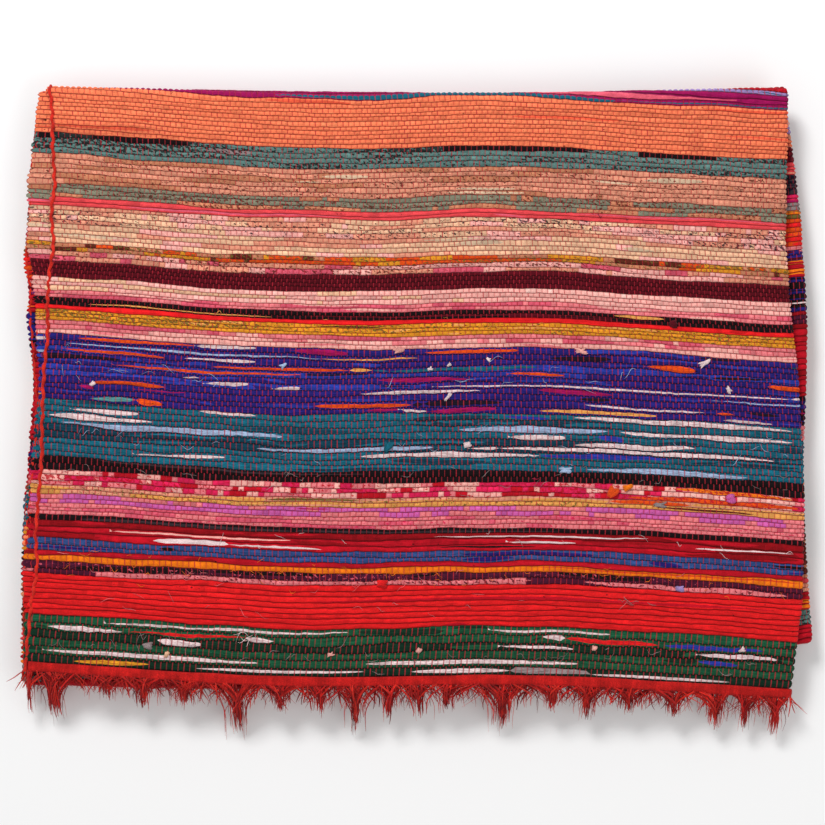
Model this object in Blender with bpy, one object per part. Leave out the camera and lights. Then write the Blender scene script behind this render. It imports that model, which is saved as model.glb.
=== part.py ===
"""A rag rug with fringed ends, folded for storage and lying on a flat surface.

The rug is first folded in half across its width: that makes a soft fold along +X and
brings its two selvedges together along -X. The double cloth is then folded back and
forth along its length into four runs. Run 1 lies on top with its fringed end towards
-Y, and run 4 lies on the surface with the other fringed end just under the lower fold.

Units are metres and +Z is up. The rug rests on Z = 0, and its outline is centred on
the origin.
"""

import math
import random

import bmesh
import bpy
import numpy as np

# The cloth
CLOTH = 0.0044          # thickness of the weave
LAYER_GAP = 0.0008      # air between two thicknesses that lie on each other
PIECE_GAP = 0.0003      # between neighbouring pieces
OUTER = CLOTH + LAYER_GAP / 2     # from the middle of the double cloth to its outer face
INNER = LAYER_GAP / 2             # and to its inner face
PITCH = 2 * OUTER + LAYER_GAP     # height from one run to the next
BEND = PITCH / 2                  # radius of the middle of the double cloth at a fold
REACH = BEND + OUTER              # radius of a fold's outer face
TOP = 3 * PITCH + OUTER           # height of the middle of run 1
SELVEDGE_THINNING = 0.0009        # how much each face draws in at a selvedge

# The pieces at its ends and edges
BAND_LENGTH = 0.010     # twined band past the last rag weft
BAND_THINNING = 0.0006  # how far its faces lie below the cloth's
CORD_RADIUS = 0.0016    # bundled warps at a selvedge
FRINGE_THICK = 0.0012
FRINGE_ROOT = 0.004     # unparted strip beside the band
TEETH = 22              # tufts of fringe on each half of the width
TUFT_SHARE = 0.64       # part of a tooth's pitch that is yarn
SHORT_TUFT, LONG_TUFT = (0.016, 0.030), (0.042, 0.050)
LONG_EVERY = 5          # every so many tufts, one is long
TUFT_SWAY = 0.004
TUFT_ROWS = (0.0, 0.35, 0.7, 1.0)
UNDER_FRINGE_SHARE = 0.75    # its tufts are this much of the top fringe's length

# The folded shape. Lines across the rug: Y at four places, from the selvedges to the fold.
LINES = (
    # (line,                  left, mid left, mid right, right)
    ("end of run 1",         (-0.276, -0.291, -0.290, -0.304)),
    ("fold 1, at the back",  (0.300, 0.295, 0.294, 0.299)),
    ("fold 2, in front",     (-0.302, -0.306, -0.291, -0.261)),
    ("fold 3, at the back",  (0.292, 0.289, 0.288, 0.291)),
    ("end of run 4",         (-0.276, -0.274, -0.266, -0.244)),
)
END_OF_RUN_1, FRONT_FOLD, END_OF_RUN_4 = 0, 2, 4

# Edges along the rug: X at five places, from the back to the front.
ALONG = (0.30, 0.15, 0.0, -0.15, -0.30)
UPPER, LOWER = 0, 1     # the half that is uppermost in run 1, and the half folded under it
SELVEDGES = {
    # (run, half):   back, near back, middle, near front, front
    (0, UPPER): (-0.364, -0.361, -0.368, -0.376, -0.387),
    (0, LOWER): (-0.369, -0.384, -0.375, -0.385, -0.390),
    (1, LOWER): (-0.368, -0.388, -0.378, -0.391, -0.392),
    (1, UPPER): (-0.364, -0.379, -0.381, -0.386, -0.388),
    (2, UPPER): (-0.363, -0.379, -0.376, -0.391, -0.384),
    (2, LOWER): (-0.360, -0.381, -0.380, -0.386, -0.381),
    (3, LOWER): (-0.365, -0.386, -0.379, -0.393, -0.387),
    (3, UPPER): (-0.361, -0.380, -0.382, -0.388, -0.385),
}
FOLDED_EDGE = {
    # run: back, near back, middle, near front, front
    0: (0.373, 0.372, 0.386, 0.390, 0.378),
    1: (0.366, 0.387, 0.394, 0.392, 0.399),
    2: (0.363, 0.382, 0.390, 0.389, 0.399),
    3: (0.361, 0.381, 0.388, 0.391, 0.388),
}

# How the stack gives: run 1 hangs a little past fold 2, and the folds puff up
OVERHANG, OVERHANG_SAG = 0.045, 0.008
BACK_PUFF, BACK_PUFF_Y = 0.07, 0.285
SIDE_PUFF, SIDE_PUFF_X = 0.05, 0.37
PUFF_WIDTH = 0.05
WAVE = 0.03

# How finely it is cut
RUN_STEPS, BEND_STEPS = 9, 6
FLAT_STEPS, ARC_STEPS = 6, 6
FRINGE_ARC_STEPS = 4
CORD_SIDES = 6
FLAT_PLACES = np.linspace(0, 1, FLAT_STEPS + 1)


def through(values, along):
    """A smooth curve through evenly spaced values, read at `along` steps from the first."""
    last = len(values) - 1
    along = min(max(along, 0.0), float(last))
    first = min(int(along), last - 1)
    t = along - first
    before = values[first - 1] if first else 2 * values[0] - values[1]
    after = values[first + 2] if first + 2 <= last else 2 * values[last] - values[last - 1]
    a, b, c, d = before, values[first], values[first + 1], after
    return b + t * ((c - a) + t * ((2 * a - 5 * b + 4 * c - d) + t * (3 * b - a - 3 * c + d))) / 2


def line(number, across):
    """Y of one of LINES at a share of the width, straight between the cloth's columns."""
    values = LINES[number][1]
    columns_y = [through(values, share * (len(values) - 1)) for share in FLAT_PLACES]
    return float(np.interp(across, FLAT_PLACES, columns_y))


def beside(table, key, y):
    """X of an edge beside y."""
    return through(table[key], (ALONG[0] - y) / (ALONG[0] - ALONG[1]))


def sag(across, y):
    """How far run 1 hangs down where it passes the front fold, and how steeply."""
    over = max(line(FRONT_FOLD, across) - y, 0.0) / OVERHANG
    return OVERHANG_SAG * over**2, 2 * OVERHANG_SAG * over / OVERHANG


def settled(points):
    """The points at the heights they settle to. Nothing moves at Z = 0, so the underside is flat."""
    x, y, z = points[..., 0], points[..., 1], points[..., 2]
    back = BACK_PUFF * np.exp(-(((y - BACK_PUFF_Y) / PUFF_WIDTH) ** 2))
    side = SIDE_PUFF * np.exp(-(((x - SIDE_PUFF_X) / PUFF_WIDTH) ** 2))
    wave = WAVE * np.cos(9.0 * x + 0.6) * np.cos(7.0 * y + 1.1)
    return np.stack([x, y, z * (1 + back + side + wave)], axis=-1)


def stations():
    """(run, share of it, turn) along the rug's length. The turn is None away from the folds."""
    found = []
    for run in range(4):
        found += [(run, k / RUN_STEPS, None) for k in range(1 if run else 0, RUN_STEPS + 1)]
        if run < 3:
            found += [(run, 1.0, math.pi * k / BEND_STEPS) for k in range(1, BEND_STEPS + 1)]
    return found


def middle(run, share, turn, across):
    """Y and Z of the middle of the double cloth, and Y and Z of the upper half's outward normal."""
    towards = 1 if run % 2 == 0 else -1
    height = TOP - run * PITCH
    start = line(run, across) + (towards * REACH if run else 0.0)
    finish = line(run + 1, across) - (towards * REACH if run < 3 else 0.0)
    if turn is not None:
        y = finish + towards * BEND * math.sin(turn)
        return y, height - BEND + BEND * math.cos(turn), math.sin(turn), towards * math.cos(turn)
    y = start + share * (finish - start)
    drop = sag(across, y)[0] if run == 0 else 0.0
    return y, height - drop, 0.0, towards


def edges(run, turn, y):
    """X of the upper selvedge, the lower selvedge and the folded edge beside y."""
    blend = turn / math.pi if turn else 0.0
    after = min(run + 1, 3)
    pairs = (
        (SELVEDGES, (run, UPPER), (after, UPPER)),
        (SELVEDGES, (run, LOWER), (after, LOWER)),
        (FOLDED_EDGE, run, after),
    )
    return [
        (1 - blend) * beside(table, key, y) + blend * beside(table, next_key, y)
        for table, key, next_key in pairs
    ]


def round_the_fold(shares, arc_steps):
    """(half or None, share of the width, angle) for each column, from selvedge to selvedge."""
    upper = [(UPPER, share, None) for share in shares if share < 1]
    arc = [(None, 1.0, math.pi * (0.5 - k / arc_steps)) for k in range(arc_steps + 1)]
    return upper + arc + [(LOWER, share, None) for _, share, _ in reversed(upper)]


def section(column, sides, radius):
    """X of a column, and its offset from the middle of the double cloth."""
    half, share, angle = column
    centre = sides[2] - OUTER
    if half is None:
        return centre + radius * math.cos(angle), radius * math.sin(angle)
    offset = radius if half == UPPER else -radius
    return sides[half] + share * (centre - sides[half]), offset


def cloth_face(columns, radius, draw):
    """Points on one face of the cloth: a row for each station, a point for each column."""
    rows = []
    for run, share, turn in stations():
        sides = edges(run, turn, middle(run, share, turn, 0.5)[0])
        row = []
        for column in columns:
            at_selvedge = column[1] == 0
            x, offset = section(column, sides, radius - (draw if at_selvedge else 0.0))
            y, z, ny, nz = middle(run, share, turn, column[1])
            row.append((x, y + ny * offset, z + nz * offset))
        rows.append(row)
    return np.array(rows)


def past_end(top_end, column, past, radius):
    """A point `past` metres beyond the last weft, before it sags: X, Y and offset from the middle."""
    run, number = (0, END_OF_RUN_1) if top_end else (3, END_OF_RUN_4)
    x, offset = section(column, edges(run, None, line(number, 0.5)), radius)
    return x, line(number, column[1]) - past, offset if top_end else -offset


def band_face(columns, top_end, radius):
    rows = []
    for past in (PIECE_GAP, BAND_LENGTH / 2, BAND_LENGTH):
        row = []
        for column in columns:
            x, y, rise = past_end(top_end, column, past, radius)
            height = TOP - sag(column[1], y)[0] if top_end else OUTER
            row.append((x, y, height + rise))
        rows.append(row)
    return np.array(rows)


def fringe_face(columns, tufts, top_end, side):
    """One face of a fringe: a row at its root, one where it parts, and the rows of its tufts."""
    root_radius, tip_radius = (OUTER + INNER) / 2, 1.1 * FRINGE_THICK
    reach, floor = (0.054, 0.0035) if top_end else (0.042, 0.0026)
    rows = []
    for share in (None,) + TUFT_ROWS:
        row = []
        for column, (length, sway) in zip(columns, tufts):
            beyond = PIECE_GAP if share is None else FRINGE_ROOT + share * length
            part = beyond / reach
            radius = root_radius + part * (tip_radius - root_radius) + side * FRINGE_THICK / 2
            x, y, rise = past_end(top_end, column, BAND_LENGTH + beyond, radius)
            drop, slope = sag(column[1], y + beyond) if top_end else (0.0, 0.0)
            start = (TOP if top_end else OUTER) - drop
            steepening = (start - slope * reach - floor) * part**2
            height = start - slope * beyond - steepening
            row.append((x + sway * (share or 0.0), y, height + rise))
        rows.append(row)
    return np.array(rows)


def slab(name, material, outer, inner, kept=None):
    """A closed body between two grids of points, without the cells that `kept` leaves out."""
    down, across = outer.shape[0] - 1, outer.shape[1] - 1
    filled = np.pad(np.ones((down, across), bool) if kept is None else kept, 1)
    count = (down + 1) * (across + 1)
    faces = []
    for i in range(down):
        for j in range(across):
            if not filled[i + 1, j + 1]:
                continue
            a, b = i * (across + 1) + j, i * (across + 1) + j + 1
            c, d = b + across + 1, a + across + 1
            faces += [(a, b, c, d), (count + d, count + c, count + b, count + a)]
            sides = ((i, j + 1, a, b), (i + 1, j + 2, b, c), (i + 2, j + 1, c, d), (i + 1, j, d, a))
            faces += [(q, p, count + p, count + q) for m, n, p, q in sides if not filled[m, n]]
    points = np.concatenate([outer.reshape(-1, 3), inner.reshape(-1, 3)])
    return body(name, material, points, faces)


def body(name, material, points, faces):
    mesh = bpy.data.meshes.new(name)
    mesh.from_pydata(settled(points).tolist(), [], faces)
    whole = bmesh.new()
    whole.from_mesh(mesh)
    bmesh.ops.delete(whole, geom=[v for v in whole.verts if not v.link_faces], context="VERTS")
    bmesh.ops.recalc_face_normals(whole, faces=whole.faces)
    whole.to_mesh(mesh)
    whole.free()
    mesh.materials.append(material)
    mesh.shade_smooth()
    mesh.set_sharp_from_angle(angle=math.radians(50))
    piece = bpy.data.objects.new(name, mesh)
    bpy.context.scene.collection.objects.link(piece)
    piece.parent = RUG
    return piece


def woven_cloth(material):
    columns = round_the_fold(FLAT_PLACES, ARC_STEPS)
    outer = cloth_face(columns, OUTER, SELVEDGE_THINNING)
    inner = cloth_face(columns, INNER, -SELVEDGE_THINNING)
    return slab("woven_cloth", material, outer, inner)


def end_band(name, material, top_end):
    """Red yarn twined round the warps, which locks the last weft."""
    columns = round_the_fold(FLAT_PLACES, ARC_STEPS)
    outer = band_face(columns, top_end, OUTER - BAND_THINNING)
    inner = band_face(columns, top_end, INNER + BAND_THINNING)
    return slab(name, material, outer, inner)


def fringe(name, material, top_end, seed):
    """One comb of warp ends: an unparted strip along the band, and tufts that fall to the surface."""
    rng = random.Random(seed)
    shares, tufts = [], []
    for k in range(TEETH):
        length = rng.uniform(*(LONG_TUFT if k % LONG_EVERY == 0 else SHORT_TUFT))
        length *= 1.0 if top_end else UNDER_FRINGE_SHARE
        sway = rng.uniform(-TUFT_SWAY, TUFT_SWAY)
        shares += [k / TEETH, (k + TUFT_SHARE) / TEETH]
        tufts += [(length, sway)] * 2
    columns = round_the_fold(shares, FRINGE_ARC_STEPS)
    tufts = tufts + [(0.0, 0.0)] * (FRINGE_ARC_STEPS + 1) + tufts[::-1]
    kept = np.zeros((len(TUFT_ROWS), len(columns) - 1), bool)
    kept[0] = True
    kept[1:, 0 : 2 * TEETH : 2] = True
    kept[1:, len(columns) - 2 : len(columns) - 2 - 2 * TEETH : -2] = True
    faces = [fringe_face(columns, tufts, top_end, side) for side in (1, -1)]
    return slab(name, material, *faces, kept)


def selvedge_cord(name, material, half):
    """The bundle of warps that the weft turns round at one selvedge, along the whole rug."""
    offset = (OUTER + INNER) / 2 * (1 if half == UPPER else -1)
    points = []
    for run, share, turn in stations():
        x = edges(run, turn, middle(run, share, turn, 0.5)[0])[half] - CORD_RADIUS - PIECE_GAP
        y, z, ny, nz = middle(run, share, turn, 0.0)
        for k in range(CORD_SIDES):
            angle = 2 * math.pi * k / CORD_SIDES
            out = offset + CORD_RADIUS * math.sin(angle)
            points.append((x + CORD_RADIUS * math.cos(angle), y + ny * out, z + nz * out))
    first_of_last = len(points) - CORD_SIDES
    faces = [tuple(range(CORD_SIDES)), tuple(range(first_of_last, len(points)))]
    for ring in range(0, first_of_last, CORD_SIDES):
        for k in range(CORD_SIDES):
            a, b = ring + k, ring + (k + 1) % CORD_SIDES
            faces.append((a, b, b + CORD_SIDES, a + CORD_SIDES))
    return body(name, material, np.array(points), faces)


def fabric(name, colour, roughness):
    material = bpy.data.materials.new(name)
    material.use_nodes = True
    shader = material.node_tree.nodes["Principled BSDF"]
    shader.inputs["Base Color"].default_value = (*colour, 1.0)
    shader.inputs["Roughness"].default_value = roughness
    shader.inputs["Metallic"].default_value = 0.0
    return material


def centre_on_origin():
    """Moves the rug, by its parent empty, so that its outline is centred over the origin."""
    corners = np.array([tuple(v.co) for piece in RUG.children for v in piece.data.vertices])
    centre = (corners.min(axis=0) + corners.max(axis=0)) / 2
    RUG.location = (-centre[0], -centre[1], 0.0)


for old in list(bpy.data.objects):
    bpy.data.objects.remove(old, do_unlink=True)

RUG = bpy.data.objects.new("rag_rug", None)
bpy.context.scene.collection.objects.link(RUG)

rags = fabric("rag_weave", (0.42, 0.07, 0.09), 0.92)
red_yarn = fabric("red_warp_yarn", (0.62, 0.03, 0.03), 0.85)

woven_cloth(rags)
end_band("top_end_band", red_yarn, True)
end_band("under_end_band", red_yarn, False)
fringe("top_fringe", red_yarn, True, seed=11)
fringe("under_fringe", red_yarn, False, seed=23)
selvedge_cord("upper_selvedge_cord", red_yarn, UPPER)
selvedge_cord("lower_selvedge_cord", red_yarn, LOWER)
centre_on_origin()
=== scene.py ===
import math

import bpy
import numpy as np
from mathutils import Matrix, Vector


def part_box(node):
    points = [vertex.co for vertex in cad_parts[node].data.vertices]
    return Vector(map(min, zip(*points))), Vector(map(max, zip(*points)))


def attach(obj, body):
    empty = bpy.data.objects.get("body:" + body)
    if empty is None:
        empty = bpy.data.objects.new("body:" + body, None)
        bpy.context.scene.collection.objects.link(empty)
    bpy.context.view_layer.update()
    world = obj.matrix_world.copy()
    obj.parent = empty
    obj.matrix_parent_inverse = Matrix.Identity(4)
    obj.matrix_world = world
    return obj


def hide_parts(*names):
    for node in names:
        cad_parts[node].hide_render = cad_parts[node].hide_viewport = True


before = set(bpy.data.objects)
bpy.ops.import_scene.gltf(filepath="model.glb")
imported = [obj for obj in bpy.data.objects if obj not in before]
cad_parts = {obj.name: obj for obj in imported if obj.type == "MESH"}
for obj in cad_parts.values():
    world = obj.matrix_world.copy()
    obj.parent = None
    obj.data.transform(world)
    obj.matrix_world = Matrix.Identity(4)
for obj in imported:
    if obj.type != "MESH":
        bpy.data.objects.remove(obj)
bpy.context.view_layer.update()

# The looks of a folded rag rug: rag wefts in stripes over red warps, twined bands and loose fringe.
# Lengths are metres. A place on the cloth is (row, u): row counts wefts from the top fringe, and u
# counts floats (the short stretches of weft between two dips) from the upper selvedge round the
# side fold to the lower selvedge.

# The folded shape, as in the CAD
CLOTH, LAYER_GAP = 0.0044, 0.0008
OUTER, INNER = CLOTH + LAYER_GAP / 2, LAYER_GAP / 2
PITCH = 2 * OUTER + LAYER_GAP
BEND = PITCH / 2
REACH = BEND + OUTER
TOP = 3 * PITCH + OUTER
BAND_LENGTH = 0.010
LINES = (
    # left, mid left, mid right, right: Y across the rug
    (-0.276, -0.291, -0.290, -0.304),   # end of run 1
    (0.300, 0.295, 0.294, 0.299),       # fold 1, at the back
    (-0.302, -0.306, -0.291, -0.261),   # fold 2, in front
    (0.292, 0.289, 0.288, 0.291),       # fold 3, at the back
    (-0.276, -0.274, -0.266, -0.244),   # end of run 4
)
ALONG = (0.30, 0.15)    # Y of the first two of five evenly spaced places
SELVEDGES = (
    # back, near back, middle, near front, front: X of the upper half's selvedge, then the lower's
    ((-0.364, -0.361, -0.368, -0.376, -0.387), (-0.369, -0.384, -0.375, -0.385, -0.390)),   # run 1
    ((-0.364, -0.379, -0.381, -0.386, -0.388), (-0.368, -0.388, -0.378, -0.391, -0.392)),   # run 2
    ((-0.363, -0.379, -0.376, -0.391, -0.384), (-0.360, -0.381, -0.380, -0.386, -0.381)),   # run 3
    ((-0.361, -0.380, -0.382, -0.388, -0.385), (-0.365, -0.386, -0.379, -0.393, -0.387)),   # run 4
)
SIDE_FOLDS = (
    # back, near back, middle, near front, front: X of each run's side fold
    (0.373, 0.372, 0.386, 0.390, 0.378),
    (0.366, 0.387, 0.394, 0.392, 0.399),
    (0.363, 0.382, 0.390, 0.389, 0.399),
    (0.361, 0.381, 0.388, 0.391, 0.388),
)
OVERHANG, OVERHANG_SAG = 0.045, 0.008
BACK_PUFF, BACK_PUFF_Y = 0.07, 0.285
SIDE_PUFF, SIDE_PUFF_X = 0.05, 0.37
PUFF_WIDTH = 0.05
WAVE = 0.03

# The weave
HALF_FLOATS = 131       # floats across one half of the folded width
FOLD_FLOATS = 2.5       # and round the side fold
ALL_FLOATS = 2 * HALF_FLOATS + FOLD_FLOATS
FLOAT_CUTS = 4          # faces across a float on the top face
EDGE_FLOATS = 4         # the strip beside an edge that shows in side views


def linear(colour):
    """An sRGB colour as the linear one that shaders take."""
    c = np.asarray(colour, float)
    return np.where(c <= 0.04045, c / 12.92, ((c + 0.055) / 1.055) ** 2.4)


# ---------------------------------------------------------------- stripes

COLOURS = {
    "salmon": (0.98, 0.50, 0.34), "deep salmon": (0.90, 0.36, 0.24), "peach": (0.88, 0.58, 0.47),
    "pale peach": (0.92, 0.72, 0.58), "tan": (0.78, 0.50, 0.37), "beige": (0.84, 0.72, 0.60),
    "brown": (0.36, 0.14, 0.09), "olive": (0.42, 0.36, 0.16), "grey green": (0.50, 0.50, 0.42),
    "grey teal": (0.36, 0.50, 0.48), "coral": (0.90, 0.28, 0.30), "maroon": (0.34, 0.03, 0.09),
    "pale pink": (0.96, 0.68, 0.64), "pink": (0.90, 0.48, 0.50), "rose": (0.84, 0.34, 0.42),
    "hot pink": (0.86, 0.13, 0.33), "crimson": (0.74, 0.06, 0.13), "magenta": (0.62, 0.06, 0.34),
    "orchid": (0.80, 0.36, 0.64), "lavender": (0.62, 0.52, 0.74), "plum": (0.30, 0.08, 0.18),
    "black": (0.08, 0.05, 0.06), "ink": (0.10, 0.07, 0.14), "charcoal": (0.22, 0.18, 0.20),
    "red": (0.88, 0.11, 0.12), "dark red": (0.58, 0.04, 0.08), "orange": (0.96, 0.48, 0.08),
    "burnt orange": (0.88, 0.30, 0.08), "mustard": (0.86, 0.56, 0.14), "gold": (0.90, 0.62, 0.32),
    "navy": (0.14, 0.12, 0.44), "royal": (0.15, 0.22, 0.60), "denim": (0.19, 0.30, 0.52),
    "pale blue": (0.62, 0.70, 0.82), "teal": (0.07, 0.38, 0.46), "dark teal": (0.05, 0.24, 0.31),
    "aqua": (0.32, 0.56, 0.56), "white": (0.90, 0.80, 0.80), "green": (0.09, 0.33, 0.22),
    "dark green": (0.05, 0.19, 0.13), "grey": (0.56, 0.50, 0.50),
}

# What one kind of rag is like: how deep the gaps between its rows and its floats are pressed (in mm),
# how much red warp shows in the gaps between floats, and how much the rag creases, which also sets the strength of the
# painted shade and painted highlight along its creases.
WEAVES = {
    # kind:    (row depth, float depth, warp, creases)
    "plump":   (1.9, 1.7, 0.75, 0.15),
    "loose":   (2.0, 0.8, 0.80, 1.0),
    "ribbed":  (1.5, 0.15, 0.10, 0.45),
    "thick":   (2.4, 0.8, 0.85, 1.0),
}

# Stripes of run 1 from the fold at the back to the fringed end:
# (name, rows, pitch in mm, kind, floats to a change of colour, ((colour, share), ...), flecks)
# Flecks are (colour, amount).
TOP_STRIPES = (
    ("crest", 1, 4.6, "plump", 60, (("magenta", 6), ("teal", 3), ("lavender", 2))),
    ("salmon", 11, 4.4, "plump", 12, (("salmon", 10), ("deep salmon", 1.1))),
    ("grey teal top", 1, 4.6, "loose", 6, (("black", 5), ("grey teal", 4)), ("black", 0.5)),
    ("grey teal", 3, 5.3, "plump", 12, (("grey teal", 9), ("grey", 0.8)), ("black", 0.34)),
    ("peach", 6, 4.9, "plump", 6, (("peach", 8), ("tan", 3), ("beige", 0.7)), ("brown", 0.2)),
    ("grey green", 3, 4.6, "plump", 5, (("grey green", 6), ("tan", 1.6), ("rose", 1)), ("brown", 0.25)),
    ("coral", 2, 3.9, "ribbed", 20, (("coral", 8), ("rose", 1))),
    ("printed", 4, 4.6, "plump", 4, (("pale peach", 4), ("pale pink", 3), ("peach", 3)), ("ink", 0.27)),
    ("pale peach", 4, 4.7, "plump", 5, (("pale peach", 6), ("pale pink", 2), ("beige", 1), ("peach", 2))),
    ("brown", 2, 4.0, "plump", 4, (("tan", 3), ("brown", 2), ("mustard", 2), ("burnt orange", 2)),
     ("olive", 0.3)),
    ("mixed rose", 2, 4.8, "plump", 4, (("rose", 2), ("peach", 3), ("pale pink", 2)), ("brown", 0.25)),
    ("maroon", 4, 4.2, "plump", 60, (("maroon", 10), ("dark red", 0.3))),
    ("pale pink", 3, 4.3, "plump", 6, (("pale pink", 10), ("pale peach", 2))),
    ("pink", 2, 3.7, "plump", 5, (("pink", 6), ("rose", 3), ("pale pink", 1))),
    ("black line", 2, 3.9, "plump", 30, (("black", 9), ("maroon", 2), ("gold", 0.4))),
    ("red line", 1, 4.8, "ribbed", 60, (("red", 1),)),
    ("mustard", 3, 3.9, "plump", 6, (("mustard", 9), ("gold", 1)), ("olive", 0.3)),
    ("pink edge", 2, 4.3, "plump", 4, (("pink", 6), ("rose", 3), ("pale pink", 2))),
    ("pale edge", 1, 5.0, "plump", 8, (("pale pink", 4), ("pink", 1.5))),
    ("navy", 11, 6.0, "loose", 8, (("navy", 12), ("royal", 5), ("ink", 2), ("white", 0.9), ("burnt orange", 1.0),
                                   ("magenta", 0.7), ("teal", 0.7), ("gold", 0.4), ("pale blue", 0.5))),
    ("teal", 9, 6.3, "loose", 10, (("teal", 12), ("dark teal", 3), ("white", 0.8), ("royal", 0.5),
                                   ("pale blue", 0.5))),
    ("black", 2, 6.0, "loose", 30, (("black", 10), ("charcoal", 1))),
    ("hot pink", 3, 5.0, "plump", 1.6, (("hot pink", 5), ("crimson", 2), ("pale pink", 5), ("pink", 3)),
     ("crimson", 0.3)),
    ("gold", 2, 4.4, "plump", 14, (("gold", 6), ("peach", 1), ("brown", 0.6)), ("olive", 0.2)),
    ("orchid", 2, 4.6, "plump", 3, (("orchid", 6), ("pink", 2), ("magenta", 0.4))),
    ("lower pink", 3, 4.0, "plump", 4, (("pink", 6), ("rose", 1.5)), ("hot pink", 0.2)),
    ("black thread", 1, 4.6, "loose", 30, (("black", 8), ("charcoal", 1.5))),
    ("crimson", 3, 6.2, "ribbed", 10, (("crimson", 8), ("dark red", 2), ("white", 0.7))),
    ("denim", 2, 5.6, "loose", 12, (("denim", 7), ("navy", 2), ("black", 0.9), ("pale blue", 0.5))),
    ("dark red", 1, 5.0, "ribbed", 40, (("dark red", 4), ("crimson", 3))),
    ("orange", 1, 6.0, "plump", 30, (("orange", 9), ("burnt orange", 1))),
    ("plum", 1, 6.6, "loose", 10, (("plum", 6), ("black", 3), ("pink", 1)), ("rose", 0.16)),
    ("broken pink", 1, 5.6, "plump", 8, (("pink", 4), ("plum", 2.5), ("rose", 1)), ("maroon", 0.25)),
    ("red", 8, 5.25, "ribbed", 40, (("red", 10), ("crimson", 0.5))),
    ("green", 6, 8.1, "thick", 12, (("green", 10), ("dark green", 3), ("white", 0.8), ("grey", 0.3))),
)

# Rags laid in by hand: (stripe, row in it, from and to as shares of the width, colour, share of the row)
LAID_RAGS = (
    ("navy", 0, 0.04, 0.20, "burnt orange", 0.5), ("navy", 0, 0.33, 0.41, "magenta", 0.7),
    ("navy", 1, 0.02, 0.36, "pale blue", 0.3), ("navy", 1, 0.37, 0.50, "gold", 0.25),
    ("navy", 2, 0.18, 0.28, "white", 0.45), ("navy", 2, 0.02, 0.16, "burnt orange", 0.5),
    ("navy", 3, 0.22, 0.40, "burnt orange", 0.5), ("navy", 3, 0.46, 0.66, "teal", 0.6),
    ("navy", 4, 0.62, 0.70, "burnt orange", 0.55), ("navy", 4, 0.09, 0.34, "burnt orange", 0.35),
    ("navy", 5, 0.44, 0.56, "magenta", 0.6), ("navy", 6, 0.52, 0.99, "white", 0.3),
    ("navy", 7, 0.42, 0.58, "white", 0.6), ("navy", 9, 0.36, 0.49, "burnt orange", 0.6),
    ("navy", 9, 0.72, 0.88, "white", 0.35), ("navy", 10, 0.66, 0.82, "gold", 0.6),
    ("navy", 10, 0.06, 0.12, "aqua", 0.6), ("navy", 2, 0.80, 0.87, "burnt orange", 0.9),
    ("teal", 0, 0.70, 0.99, "white", 0.75), ("teal", 1, 0.04, 0.13, "white", 0.6),
    ("teal", 2, 0.55, 0.75, "pale blue", 0.8), ("teal", 2, 0.76, 0.99, "white", 0.7),
    ("teal", 2, 0.01, 0.15, "white", 0.8), ("teal", 3, 0.02, 0.32, "pale blue", 0.7),
    ("teal", 4, 0.70, 0.86, "white", 0.8), ("teal", 5, 0.28, 0.52, "pale blue", 0.7),
    ("teal", 5, 0.60, 0.97, "white", 0.6), ("teal", 6, 0.42, 0.66, "white", 0.75),
    ("teal", 7, 0.12, 0.24, "white", 0.4), ("teal", 8, 0.72, 0.93, "pale blue", 0.7),
    ("hot pink", 0, 0.83, 0.99, "orange", 0.9), ("hot pink", 2, 0.77, 1.0, "burnt orange", 1.0),
    ("gold", 0, 0.75, 0.86, "burnt orange", 0.9), ("gold", 0, 0.30, 0.42, "olive", 0.6),
    ("crimson", 0, 0.52, 0.80, "white", 0.25), ("crimson", 1, 0.86, 0.99, "white", 0.3),
    ("crimson", 1, 0.10, 0.34, "pale pink", 0.35), ("crimson", 2, 0.25, 0.37, "white", 0.3),
    ("crimson", 2, 0.52, 0.66, "black", 0.3), ("mustard", 0, 0.36, 0.46, "black", 0.5),
    ("red line", 0, 0.99, 1.0, "red", 1.0), ("black line", 1, 0.05, 0.30, "gold", 0.35),
    ("black line", 0, 0.76, 0.83, "gold", 0.7), ("broken pink", 0, 0.72, 0.99, "pink", 0.9),
    ("green", 0, 0.10, 0.42, "white", 0.3), ("green", 0, 0.60, 0.76, "white", 0.3),
    ("green", 1, 0.02, 0.12, "white", 0.6), ("green", 1, 0.13, 0.28, "red", 0.35),
    ("green", 1, 0.70, 0.82, "red", 0.6), ("green", 1, 0.83, 0.96, "royal", 0.55),
    ("green", 2, 0.17, 0.23, "white", 0.8), ("green", 2, 0.62, 0.72, "white", 0.4),
    ("green", 2, 0.88, 0.99, "white", 0.55), ("green", 3, 0.88, 0.93, "royal", 0.6),
    ("green", 4, 0.02, 0.30, "white", 0.5), ("green", 4, 0.44, 0.72, "white", 0.55),
    ("green", 5, 0.06, 0.16, "mustard", 0.5), ("green", 5, 0.22, 0.44, "white", 0.35),
    ("green", 5, 0.50, 0.63, "white", 0.5), ("green", 5, 0.74, 0.92, "white", 0.35),
)

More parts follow.
